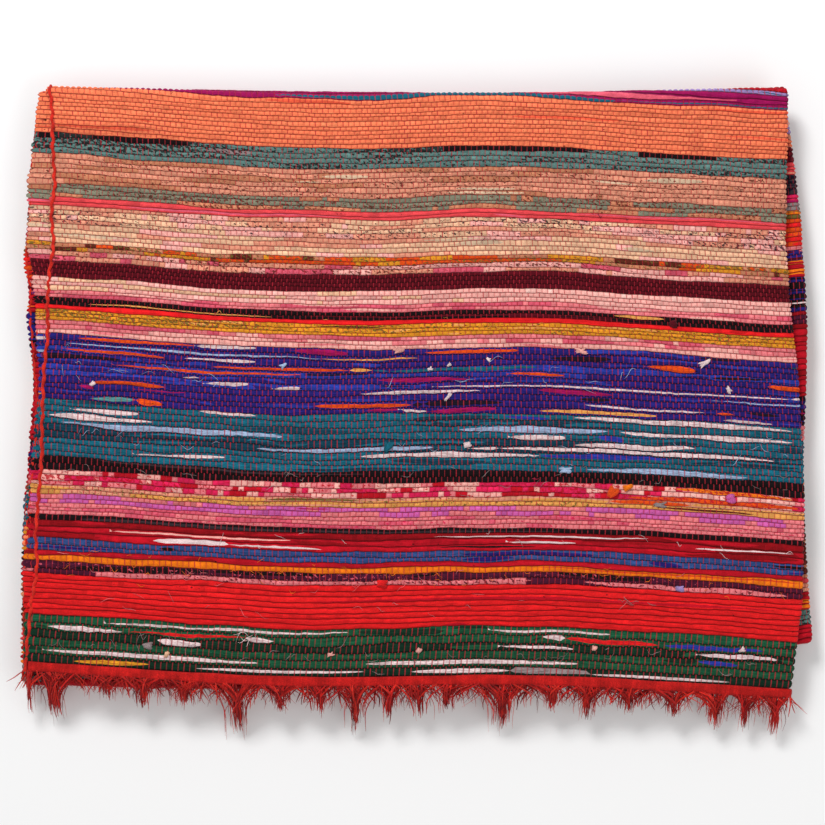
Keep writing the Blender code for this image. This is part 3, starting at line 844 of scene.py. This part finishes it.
def make_cloth():
    starts, finishes = run_ends(0.5)
    lengths = [abs(f - s) for s, f in zip(starts, finishes)]
    bend = math.pi * BEND
    front, back = sum(lengths[:2]) + bend, sum(lengths[:3]) + 2 * bend
    into_run_2 = rows_at(lengths[0] + bend + 0.018)
    low, far_u = HALF_FLOATS - EDGE_FLOATS, HALF_FLOATS + FOLD_FLOATS + EDGE_FLOATS
    step = 1 / FLOAT_CUTS
    fine = np.concatenate([SELVEDGE_COLUMNS, column_lines(1, far_u, step)])
    bounds = [0, rows_at(0.2), rows_at(0.4), into_run_2]
    front_rows = (rows_at(front - 0.022), rows_at(front + bend + 0.022))
    back_rows = (rows_at(back - 0.010), rows_at(back + bend + 0.010))
    left = np.concatenate([SELVEDGE_COLUMNS, column_lines(1, EDGE_FLOATS, 0.5)])
    patches = [
        ("cloth_top_1", cut_rows(bounds[0], bounds[1]), fine),
        ("cloth_top_2", cut_rows(bounds[1], bounds[2]), fine),
        ("cloth_top_3", cut_rows(bounds[2], bounds[3]), fine),
        ("cloth_front_fold", cut_rows(*front_rows, 3), column_lines(far_u, ALL_FLOATS - EDGE_FLOATS, 2 * step)),
        ("cloth_back_fold", cut_rows(*back_rows, 3), column_lines(EDGE_FLOATS, low, 2 * step)),
        ("cloth_side_folds", cut_rows(into_run_2, ROW_COUNT, 3), column_lines(low, far_u, 2 * step)),
        ("cloth_upper_edges", cut_rows(into_run_2, ROW_COUNT, 3), left),
        ("cloth_lower_edges", cut_rows(0, ROW_COUNT, 3), (ALL_FLOATS - left)[::-1]),
    ]
    inland = np.linspace(EDGE_FLOATS, low, 9)
    half = np.concatenate([[0, 0.4, 1.5], inland])
    us = np.concatenate([half[:-1], np.linspace(low, far_u, 9), (ALL_FLOATS - half)[::-1][1:]])
    covered = [(rows[0], rows[-1], columns[0], columns[-1]) for _, rows, columns in patches]
    rest = rest_of_cloth("cloth_folds", cut_rows(0, ROW_COUNT, 2), us, covered)
    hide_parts("woven_cloth")
    return rest, [cloth_patch(*patch) for patch in patches]


# ---------------------------------------------------------------- twined bands, selvedge cords and fringe

def end_band(name, top_end, step):
    """Red yarn twined across the warps beyond the last weft: a fat flattened cord, ribbed by its turns."""
    us = column_lines(0, ALL_FLOATS, step)
    around = 2 * math.pi * np.arange(12) / 12
    u, turn = np.meshgrid(us, around, indexing="ij")
    rng = np.random.default_rng(31)
    swell = np.interp(u, np.arange(0, ALL_FLOATS + 8, 4), rng.uniform(-1, 1, int(ALL_FLOATS / 4) + 3)[: len(np.arange(0, ALL_FLOATS + 8, 4))])
    rib = np.abs(np.sin(math.pi * (2.2 * u + 0.35 * turn)))
    middle, half = (OUTER + INNER) / 2, (OUTER - INNER) / 2
    past = BAND_LENGTH * (0.5 - (0.5 + 0.05 * swell) * np.cos(turn))
    radius = middle + (half - 0.0005 * (1 - rib) + 0.0002 * swell) * np.sign(np.sin(turn)) * np.abs(np.sin(turn)) ** 0.55
    s = -past if top_end else total_length(0.5) + past
    points = place(s, u, radius)
    band = mesh_object(name + "_yarn", points.reshape(-1, 3), grid_quads(*u.shape, closed=True), YARN)
    quads = grid_quads(*u.shape, closed=True)
    tone = rng.uniform(0.85, 1.1, len(us))[quads[:, 0] // 12, None]
    set_values(band.data, "strand", "FLOAT_COLOR", "FACE", "color", np.hstack([YARN_RED * tone, np.ones_like(tone)]))
    at = np.stack([u.ravel() / ALL_FLOATS, turn.ravel() / 7], axis=-1)[quads]
    at[..., 1] += (at[..., 1] < at[:, :1, 1] - 0.5) * (12 / 11 * at[..., 1].max())
    set_uv(band.data, "OFBake", at)
    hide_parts(name)
    return band


def selvedge_cord(name, half, seed):
    """The bundle of red warps at one selvedge, which shows over some wefts and dips under others."""
    rng = np.random.default_rng(seed)
    end = total_length(0.5)
    s = np.arange(-BAND_LENGTH, end + BAND_LENGTH, 0.0016)
    row = np.interp(s, ROW_STARTS, np.arange(ROW_COUNT + 1))
    beat = np.interp(row, np.arange(0, ROW_COUNT + 4, 2), rng.uniform(0, 1, (ROW_COUNT + 5) // 2 + 1)[: len(np.arange(0, ROW_COUNT + 4, 2))])
    sunk = 0.5 - 0.5 * np.cos(math.pi * row + beat)
    u = 0.0 if half == 0 else ALL_FLOATS
    starts, finishes = run_ends(0.5)
    on_top = (half == 0) & (s < abs(finishes[0] - starts[0]))
    radius = (OUTER + INNER) / 2 + np.where(on_top, 0.0021 - 0.0019 * sunk, 0.0004)
    path = place(s, np.full_like(s, u), radius, (0.0025 * edge_scallop(row, 0), -0.0025 * edge_scallop(row, 0), 0.0))
    path[:, 0] -= 0.0008 - 0.0007 * np.sin(2.1 * row)
    fat = np.where(on_top, 0.0017, 0.0011) + 0.0003 * np.sin(math.pi * row) + rng.uniform(-0.0002, 0.0002, len(s))
    path[:, 2] = np.maximum(path[:, 2], fat)
    sides = 8
    return rng, path, fat, sides


def make_cord(name, half, seed):
    rng, path, fat, sides = selvedge_cord(name, half, seed)
    cord = tubes(name + "_yarn", [path], [fat], [YARN_BRIGHT * 0.9], YARN, sides)
    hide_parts(name)
    return cord


# Where the fringe hangs in tassels: shares of the width, and lengths beyond the band
TASSELS = (
    (0.000, 0.050), (0.030, 0.048), (0.105, 0.024), (0.150, 0.030), (0.205, 0.026), (0.275, 0.052),
    (0.330, 0.026), (0.385, 0.028), (0.430, 0.045), (0.475, 0.034), (0.515, 0.034), (0.550, 0.026),
    (0.625, 0.046), (0.690, 0.026), (0.735, 0.034), (0.790, 0.024), (0.850, 0.026), (0.905, 0.036),
    (0.945, 0.034), (0.985, 0.040),
)


def strand_paths(rng, count, top_end, rings, tassel_pull, long_share, wild):
    """Strands that leave the band, lean towards a tassel and fall to the floor."""
    u = rng.uniform(0, ALL_FLOATS, count)
    across = share_of(u)
    shares = np.array([share for share, _ in TASSELS])
    lengths = np.array([length for _, length in TASSELS])
    nearest = np.abs(across[:, None] - shares + rng.normal(0, 0.012, (count, len(shares)))).argmin(axis=1)
    in_tassel = rng.random(count) < tassel_pull
    length = np.where(in_tassel, lengths[nearest] * rng.uniform(0.5, 1.0, count), rng.uniform(0.010, 0.022, count))
    length = length * np.where(rng.random(count) < long_share, 1.15, 1.0) * (1.0 if top_end else 0.75)
    t = np.linspace(0, 1, rings)[None, :]
    root = BAND_LENGTH - 0.0015
    s = np.full(count, -root if top_end else total_length(0.5) + root)
    start = place(s, u, (OUTER + INNER) / 2 + rng.uniform(-0.0014, 0.0014, count))[:, None, :]
    middle = place(np.full(len(shares), s[0]), shares * HALF_FLOATS, OUTER / 2)[:, 0]
    pull = np.where(in_tassel, middle[nearest] - start[:, 0, 0], rng.normal(0, 0.010, count))
    pull = np.clip(pull, -0.020, 0.020) + rng.normal(0, wild, count)
    lean = np.where(in_tassel[:, None], np.sin(np.minimum(t * 1.5, 1) * math.pi / 2), t)
    twist, phase = rng.uniform(1.5, 4.5, (count, 1)), rng.uniform(0, 6.28, (count, 1))
    curl = rng.uniform(0.0003, 0.0016, (count, 1)) * np.sin(twist * 2 * t + phase) * t
    x = start[..., 0] + pull[:, None] * lean + curl
    beyond = length[:, None] * t * (1 - 0.1 * np.sin(phase) * t)
    y = start[..., 1] - beyond
    reach, floor = (0.054, 0.0035) if top_end else (0.042, 0.0026)
    fall = (start[..., 2] - floor) * np.clip(beyond / reach, 0, 1) ** 2
    lift = rng.uniform(-0.0012, 0.0035, (count, 1)) * np.sin(math.pi * np.minimum(t * 1.6, 1))
    z = np.maximum(start[..., 2] - fall + lift + 0.0008 * np.cos(twist * 2 * t + phase), 0.001)
    return np.stack([x, y, z], axis=-1), t


def fringe(name, top_end, thick_count, thin_count, seed):
    """Warp ends of red yarn, some still plied and some frayed to threads."""
    rng = np.random.default_rng(seed)
    rings = 9
    thick, t = strand_paths(rng, thick_count, top_end, rings, 0.75, 0.2, 0.002)
    thin, t = strand_paths(rng, thin_count, top_end, rings, 0.55, 0.4, 0.006)
    taper = 1 - 0.75 * t**3
    radii = np.concatenate([rng.uniform(0.0005, 0.0009, (thick_count, 1)) * taper,
                            rng.uniform(0.00022, 0.0004, (thin_count, 1)) * taper])
    tone = rng.choice(3, thick_count + thin_count, p=(0.55, 0.2, 0.25))
    colours = np.array([YARN_RED, YARN_DARK, YARN_BRIGHT])[tone] * rng.uniform(0.8, 1.15, (len(tone), 1))
    piece = tubes(name + "_yarn", np.concatenate([thick, thin]), radii, colours, YARN)
    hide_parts(name)
    return piece


# ---------------------------------------------------------------- knots and loose ends

# Lumps where a rag was knotted or folded over: (stripe, row, share of the width, length, width and
# height in mm, turn in degrees, colour)
KNOTS = (
    ("hot pink", 1.2, 0.752, 15, 11, 4, 60, "burnt orange"), ("hot pink", 1.0, 0.908, 11, 11, 5, 20, "orchid"),
    ("black line", 1.0, 0.842, 9, 9, 5, 0, "maroon"), ("pink edge", 2.6, 0.470, 12, 7, 3, 5, "pale pink"),
    ("pink edge", 2.8, 0.715, 16, 6, 3, 0, "pale pink"), ("teal", 4.6, 0.455, 14, 8, 5, 80, "teal"),
    ("navy", 2.2, 0.537, 6, 4, 3, 60, "white"), ("navy", 2.9, 0.512, 8, 4, 3, 30, "white"),
    ("navy", 1.6, 0.590, 6, 4, 2.5, -30, "white"), ("navy", 8.0, 0.535, 12, 4, 3, 40, "white"),
    ("teal", 4.4, 0.560, 9, 7, 4, 20, "white"), ("navy", 2.4, 0.315, 9, 5, 3, 40, "pale blue"),
    ("navy", 7.5, 0.062, 7, 5, 3, 60, "white"), ("green", 2.4, 0.510, 7, 6, 3, 60, "pale pink"),
    ("green", 2.6, 0.395, 9, 4, 3, 20, "pale pink"), ("green", 1.8, 0.740, 6, 6, 3, 80, "pale pink"),
    ("green", 2.6, 0.155, 12, 9, 3.5, 15, "grey"), ("green", 3.6, 0.180, 7, 6, 3, 80, "pale peach"),
    ("green", 1.0, 0.933, 8, 5, 3, 30, "white"), ("broken pink", 0.2, 0.455, 13, 9, 4, 20, "red"),
    ("plum", 0.8, 0.845, 12, 7, 4, 10, "lavender"), ("hot pink", 0.0, 0.772, 11, 7, 4, 30, "orange"),
    ("teal", 8.2, 0.690, 16, 7, 4, 0, "pale blue"), ("gold", 0.4, 0.815, 15, 6, 3, 0, "grey"),
    ("navy", 5.0, 0.910, 9, 5, 3, -40, "white"), ("navy", 0.6, 0.880, 14, 5, 3, 40, "white"),
)


def knots(name):
    """Lumps of rag on the top face."""
    rng = np.random.default_rng(71)
    rings = 9
    t = np.linspace(0, 1, rings)
    paths, radii, colours = [], [], []
    for stripe, number, share, length, width, height, turn, colour in KNOTS:
        for part in range(3):
            row, u = spot(stripe, number, share)
            centre = on_cloth(row, u, 0.0)
            angle = math.radians(turn + rng.uniform(-25, 25))
            reach = 0.0005 * length * rng.uniform(0.7, 1.0)
            aside = 0.00022 * width * (part - 1) + rng.uniform(-0.0004, 0.0004)
            along, across = np.array([math.cos(angle), math.sin(angle)]), np.array([-math.sin(angle), math.cos(angle)])
            swing = (2 * t[:, None] - 1) * reach * along + (aside + 0.0008 * np.sin(5 * t + part)[:, None]) * across
            rise = 0.0003 * height * np.sin(math.pi * t) - 0.0010
            paths.append(np.column_stack([centre[:2] + swing, centre[2] + rise]))
            radii.append(0.00026 * width * (0.12 + np.sin(math.pi * t) ** 0.6) * rng.uniform(0.8, 1.1))
            colours.append(linear(COLOURS[colour]) * rng.normal(1.0, 0.1))
    return tubes(name, paths, radii, colours, RAG_ENDS, 8)


# Rags and threads that stick out: (stripe, row, share of the width, number, length in mm, colour)
FRAYS = (
    ("orange", 0.5, None, 60, 9, "orange"), ("grey teal", 1.0, None, 14, 9, "grey"),
    ("navy", 5.0, None, 26, 14, "pale blue"), ("teal", 4.0, None, 30, 12, "pale blue"),
    ("black", 1.0, None, 30, 12, "grey"), ("hot pink", 1.5, None, 14, 9, "hot pink"),
    ("crimson", 1.0, None, 14, 12, "white"), ("plum", 0.5, None, 22, 12, "pink"),
    ("red", 4.0, None, 16, 14, "pink"), ("red", 2.0, 0.78, 6, 12, "grey"),
    ("green", 3.0, None, 40, 12, "grey"), ("green", 1.0, 0.28, 6, 14, "white"),
    ("printed", 1.5, None, 34, 8, "ink"), ("printed", 2.5, None, 20, 10, "ink"),
    ("peach", 1.5, None, 12, 9, "brown"), ("red line", 0.0, None, 8, 12, "gold"),
)


def frays(name):
    """Fine threads frayed from the rags, which lie on the top face."""
    rng = np.random.default_rng(72)
    rings = 8
    t = np.linspace(0, 1, rings)
    paths, radii, colours = [], [], []
    for stripe, number, share, count, length, colour in FRAYS:
        for _ in range(count):
            at = rng.uniform(0.01, 0.99) if share is None else share + rng.normal(0, 0.01)
            spread = 1.2 if share is None else 0.3
            row, u = spot(stripe, number + rng.normal(0, spread), at)
            reach = length * rng.uniform(0.4, 1.3) / 5.9
            turn = rng.normal(0, 0.5)
            bend = rng.uniform(-1, 1) * np.sin(math.pi * t) + rng.uniform(-0.3, 0.3) * np.sin(2.4 * math.pi * t)
            path_u = np.clip(u + reach * (t - 0.5) * math.cos(turn), 0.2, HALF_FLOATS)
            path_row = np.clip(row + reach * (t - 0.5) * math.sin(turn) + 0.6 * bend, 0.3, TOP_ROWS)
            height = -0.0008 + 0.0012 * np.sin(math.pi * t) ** 0.5
            paths.append(on_cloth(path_row, path_u, height))
            radii.append(np.full(rings, rng.uniform(0.00018, 0.00032)) * (1 - 0.6 * np.abs(2 * t - 1)))
            colours.append(linear(COLOURS[colour]) * rng.normal(1.0, 0.15))
    return tubes(name, paths, radii, colours, RAG_ENDS)


CLOTH_PIECE, CLOTH_PATCHES = make_cloth()
ON_CLOTH = [
    end_band("top_end_band", True, 0.2), end_band("under_end_band", False, 0.34),
    make_cord("upper_selvedge_cord", 0, 51), make_cord("lower_selvedge_cord", 1, 52),
    fringe("top_fringe", True, 1000, 1200, 61), fringe("under_fringe", False, 380, 320, 62),
    knots("rag_knots"), frays("rag_threads"),
]


# ---------------------------------------------------------------- floor, light and camera

def add_floor():
    bpy.ops.mesh.primitive_plane_add(size=12.0, location=(0, 0, -0.0002))
    floor = bpy.context.object
    floor.name = "floor"
    floor.data.materials.append(plain_floor())


def add_light(name, position, size, power):
    light = bpy.data.lights.new(name, "AREA")
    light.shape, light.size, light.energy = "SQUARE", size, power
    lamp = bpy.data.objects.new(name, light)
    lamp.location = position
    lamp.rotation_euler = (-Vector(position)).to_track_quat("-Z", "Y").to_euler()
    bpy.context.scene.collection.objects.link(lamp)


def add_world(strength):
    world = bpy.data.worlds.new("studio")
    world.use_nodes = True
    background = world.node_tree.nodes["Background"].inputs
    background["Color"].default_value = (1, 1, 1, 1)
    background["Strength"].default_value = strength
    bpy.context.scene.world = world


def add_camera():
    view_width, distance = 0.825, 2.6
    data = bpy.data.cameras.new("camera")
    data.sensor_width = 36.0
    data.lens = data.sensor_width * distance / view_width
    camera = bpy.data.objects.new("camera", data)
    camera.location = (SHIFT[0] - 0.0025, SHIFT[1] - 0.0275, TOP + distance)
    bpy.context.scene.collection.objects.link(camera)
    bpy.context.scene.camera = camera


add_floor()
add_world(0.5)
add_light("key", (-0.9, 2.2, 2.4), 0.9, 75)
add_light("fill", (1.6, -1.2, 2.4), 2.0, 18)
bpy.context.scene.view_settings.view_transform = "Standard"
add_camera()
